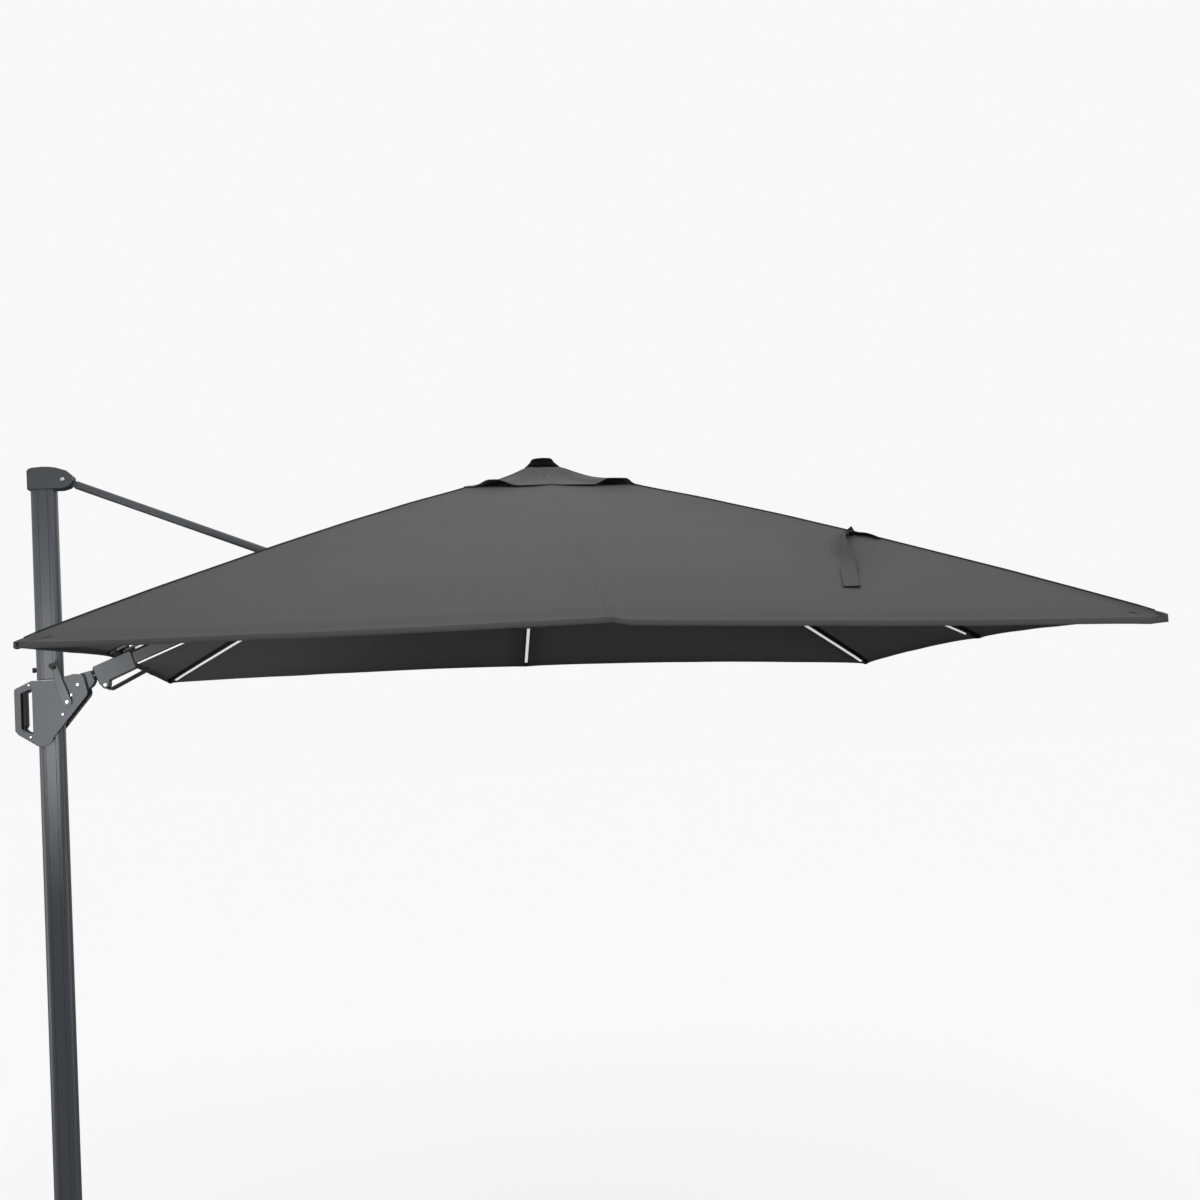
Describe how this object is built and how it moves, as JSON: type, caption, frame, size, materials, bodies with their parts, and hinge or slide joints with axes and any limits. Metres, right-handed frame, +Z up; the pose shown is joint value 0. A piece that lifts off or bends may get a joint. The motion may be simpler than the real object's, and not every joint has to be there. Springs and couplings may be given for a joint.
{
  "type": "cantilever parasol",
  "caption": "Square garden parasol hung beside its mast from a folding arm and strut, with crank, slider, side tilt and ballasted cross base.",
  "frame": {"origin": "on the floor under the mast's axis", "axes": "+X from the mast to the canopy, +Y away from the crank's side, +Z up"},
  "size_m": [3.7241, 3.0146, 2.7],
  "materials": {
    "frame_coating": "satin",
    "rib_coating": "satin",
    "casting": "satin",
    "dark_steel": "satin",
    "black_plastic": "matte",
    "bright_steel": "satin",
    "canopy_cloth": "matte",
    "ballast_stone": "matte"
  },
  "bodies": {
    "base": {"cross_frame": "frame_coating", "ballast_slab_front_right": "ballast_stone", "ballast_slab_back_right": "ballast_stone", "ballast_slab_back_left": "ballast_stone", "ballast_slab_front_left": "ballast_stone", "foot_housing": "frame_coating", "pedal_pin": "bright_steel"},
    "pedal": {"pedal": "black_plastic"},
    "mast": {"mast_foot": "frame_coating", "mast_tube": "frame_coating", "mast_cap": "casting", "cap_pin": "bright_steel", "mast_stop": "black_plastic"},
    "strut": {"strut_eye": "casting", "strut_tube": "frame_coating", "strut_fork": "casting"},
    "arm_foot": {"arm_knuckle": "casting", "tilt_spigot": "dark_steel", "strut_collar": "casting"},
    "slider": {"slider_shell_front": "casting", "slider_shell_back": "casting", "slider_liner": "black_plastic", "slider_grip": "black_plastic", "arm_pin": "bright_steel", "slider_bolt_upper": "bright_steel", "slider_bolt_lower": "bright_steel"},
    "trigger": {"latch_trigger": "black_plastic"},
    "crank": {"winch_drum": "bright_steel", "crank_arm": "black_plastic"},
    "knob": {"crank_knob": "black_plastic"},
    "arm": {"tilt_sleeve": "casting", "tilt_bolt": "bright_steel", "tilt_bar": "dark_steel", "arm_tube": "frame_coating", "hub_bracket": "casting", "rail_pin": "bright_steel", "canopy_hub": "casting", "finial": "black_plastic", "canopy": "canopy_cloth", "vent_cap": "canopy_cloth", "tie_strap": "canopy_cloth"},
    "rib_front_right": {"rib_front_right": "rib_coating"},
    "stretcher_front_right": {"stretcher_front_right": "rib_coating"},
    "rib_right": {"rib_right": "rib_coating"},
    "stretcher_right": {"stretcher_right": "rib_coating"},
    "rib_back_right": {"rib_back_right": "rib_coating"},
    "stretcher_back_right": {"stretcher_back_right": "rib_coating"},
    "rib_back": {"rib_back": "rib_coating"},
    "stretcher_back": {"stretcher_back": "rib_coating"},
    "rib_back_left": {"rib_back_left": "rib_coating"},
    "stretcher_back_left": {"stretcher_back_left": "rib_coating"},
    "rib_left": {"rib_left": "rib_coating"},
    "stretcher_left": {"stretcher_left_front": "rib_coating", "stretcher_left_back": "rib_coating"},
    "rib_front_left": {"rib_front_left": "rib_coating"},
    "stretcher_front_left": {"stretcher_front_left": "rib_coating"},
    "rib_front": {"rib_front": "rib_coating"},
    "stretcher_front": {"stretcher_front": "rib_coating"},
    "runner": {"runner": "black_plastic"}
  },
  "joints": [
    {"name": "pedal_press", "type": "hinge", "parent": "base", "child": "pedal", "pos_m": [0, -0.088, 0.125], "axis": [1, 0, 0], "range_deg": [0, 12], "stiffness_Nm_per_rad": 6, "springref_deg": -8.59},
    {"name": "mast_turn", "type": "hinge", "parent": "base", "child": "mast", "pos_m": [0, 0, 0.19], "axis": [0, 0, 1], "continuous": true},
    {"name": "strut_swing", "type": "hinge", "parent": "mast", "child": "strut", "pos_m": [0.067, 0, 2.655], "axis": [0, 1, 0], "range_deg": [0, 41]},
    {"name": "arm_fold", "type": "hinge", "parent": "strut", "child": "arm_foot", "pos_m": [0.9155, 0, 2.30708], "axis": [0, -1, 0], "range_deg": [0, 82.16]},
    {"name": "slider_pivot", "type": "hinge", "parent": "arm_foot", "child": "slider", "pos_m": [0.095, 0, 1.9676], "axis": [0, 1, 0], "range_deg": [0, 41.9]},
    {"name": "trigger_squeeze", "type": "slide", "parent": "slider", "child": "trigger", "axis": [-1, 0, 0], "range_m": [0, 0.006], "stiffness_N_per_m": 1500, "springref_m": -0.004},
    {"name": "crank_turn", "type": "hinge", "parent": "slider", "child": "crank", "pos_m": [0.062, 0, 1.912], "axis": [0, 1, 0], "range_deg": [0, 4681]},
    {"name": "knob_spin", "type": "hinge", "parent": "crank", "child": "knob", "pos_m": [0.022, 0, 2.031], "axis": [0, 1, 0], "continuous": true},
    {"name": "side_tilt", "type": "hinge", "parent": "arm_foot", "child": "arm", "pos_m": [0.18785, 0, 2.01604], "axis": [0.9285, 0, 0.3714], "range_deg": [-15, 15]},
    {"name": "canopy_close", "type": "hinge", "parent": "arm", "child": "rib_front_right", "pos_m": [1.71772, -0.04213, 2.612], "axis": [0.7022, 0.712, 0], "range_deg": [0, 69.59], "deforming": ["canopy", "vent_cap", "tie_strap"]},
    {"name": "stretcher_swing_front_right", "type": "hinge", "parent": "rib_front_right", "child": "stretcher_front_right", "pos_m": [2.102, -0.4211, 2.40919], "axis": [-0.7022, -0.712, 0], "range_deg": [0, 129.9]},
    {"name": "rib_swing_right", "type": "hinge", "parent": "arm", "child": "rib_right", "pos_m": [1.735, 0, 2.612], "axis": [0, 1, 0], "range_deg": [0, 64.1]},
    {"name": "stretcher_swing_right", "type": "hinge", "parent": "rib_right", "child": "stretcher_right", "pos_m": [2.27695, 0, 2.34379], "axis": [0, -1, 0], "range_deg": [0, 129.6]},
    {"name": "rib_swing_back_right", "type": "hinge", "parent": "arm", "child": "rib_back_right", "pos_m": [1.71772, 0.04213, 2.612], "axis": [-0.7022, 0.712, 0], "range_deg": [0, 69.9]},
    {"name": "stretcher_swing_back_right", "type": "hinge", "parent": "rib_back_right", "child": "stretcher_back_right", "pos_m": [2.102, 0.4211, 2.40919], "axis": [0.7022, -0.712, 0], "range_deg": [0, 129.9]},
    {"name": "rib_swing_back", "type": "hinge", "parent": "arm", "child": "rib_back", "pos_m": [1.67584, 0.05999, 2.612], "axis": [-0.9999, 0.014, 0], "range_deg": [0, 65]},
    {"name": "stretcher_swing_back", "type": "hinge", "parent": "rib_back", "child": "stretcher_back", "pos_m": [1.68343, 0.60196, 2.35374], "axis": [0.9999, -0.014, 0], "range_deg": [0, 129.6]},
    {"name": "rib_swing_back_left", "type": "hinge", "parent": "arm", "child": "rib_back_left", "pos_m": [1.63287, 0.04272, 2.612], "axis": [-0.7121, -0.7021, 0], "range_deg": [0, 71.6]},
    {"name": "stretcher_swing_back_left", "type": "hinge", "parent": "rib_back_left", "child": "stretcher_back_left", "pos_m": [1.25514, 0.42582, 2.42682], "axis": [0.7121, 0.7021, 0], "range_deg": [0, 130.1]},
    {"name": "rib_swing_left", "type": "hinge", "parent": "arm", "child": "rib_left", "pos_m": [1.572, 0, 2.599], "axis": [0, -1, 0], "range_deg": [0, 66.4]},
    {"name": "stretcher_swing_left", "type": "hinge", "parent": "rib_left", "child": "stretcher_left", "pos_m": [1.03419, 0, 2.35856], "axis": [0, 1, 0], "range_deg": [0, 130.5]},
    {"name": "rib_swing_front_left", "type": "hinge", "parent": "arm", "child": "rib_front_left", "pos_m": [1.63287, -0.04272, 2.612], "axis": [0.7121, -0.7021, 0], "range_deg": [0, 71.6]},
    {"name": "stretcher_swing_front_left", "type": "hinge", "parent": "rib_front_left", "child": "stretcher_front_left", "pos_m": [1.25514, -0.42582, 2.42682], "axis": [-0.7121, 0.7021, 0], "range_deg": [0, 130.1]},
    {"name": "rib_swing_front", "type": "hinge", "parent": "arm", "child": "rib_front", "pos_m": [1.67584, -0.05999, 2.612], "axis": [0.9999, 0.014, 0], "range_deg": [0, 65]},
    {"name": "stretcher_swing_front", "type": "hinge", "parent": "rib_front", "child": "stretcher_front", "pos_m": [1.68343, -0.60196, 2.35374], "axis": [-0.9999, -0.014, 0], "range_deg": [0, 129.6]},
    {"name": "runner_swing", "type": "hinge", "parent": "stretcher_front", "child": "runner", "pos_m": [1.67584, -0.05999, 2.0955], "axis": [0.9999, 0.014, 0], "range_deg": [0, 65]}
  ],
  "couplings": [
    {"joint": "strut_swing", "follows": "arm_fold", "ratio": 0.49463},
    {"joint": "slider_pivot", "follows": "arm_fold", "ratio": 0.50537},
    {"joint": "crank_turn", "follows": "canopy_close", "ratio": 67.249},
    {"joint": "stretcher_swing_front_right", "follows": "canopy_close", "ratio": 1.8623},
    {"joint": "rib_swing_right", "follows": "canopy_close", "ratio": 0.91612},
    {"joint": "stretcher_swing_right", "follows": "canopy_close", "ratio": 1.8569},
    {"joint": "rib_swing_back_right", "follows": "canopy_close", "ratio": 1},
    {"joint": "stretcher_swing_back_right", "follows": "canopy_close", "ratio": 1.8623},
    {"joint": "rib_swing_back", "follows": "canopy_close", "ratio": 0.92861},
    {"joint": "stretcher_swing_back", "follows": "canopy_close", "ratio": 1.8572},
    {"joint": "rib_swing_back_left", "follows": "canopy_close", "ratio": 1.0234},
    {"joint": "stretcher_swing_back_left", "follows": "canopy_close", "ratio": 1.865},
    {"joint": "rib_swing_left", "follows": "canopy_close", "ratio": 0.94913},
    {"joint": "stretcher_swing_left", "follows": "canopy_close", "ratio": 1.8698},
    {"joint": "rib_swing_front_left", "follows": "canopy_close", "ratio": 1.0234},
    {"joint": "stretcher_swing_front_left", "follows": "canopy_close", "ratio": 1.865},
    {"joint": "rib_swing_front", "follows": "canopy_close", "ratio": 0.92861},
    {"joint": "stretcher_swing_front", "follows": "canopy_close", "ratio": 1.8572},
    {"joint": "runner_swing", "follows": "canopy_close", "ratio": 0.92862}
  ]
}
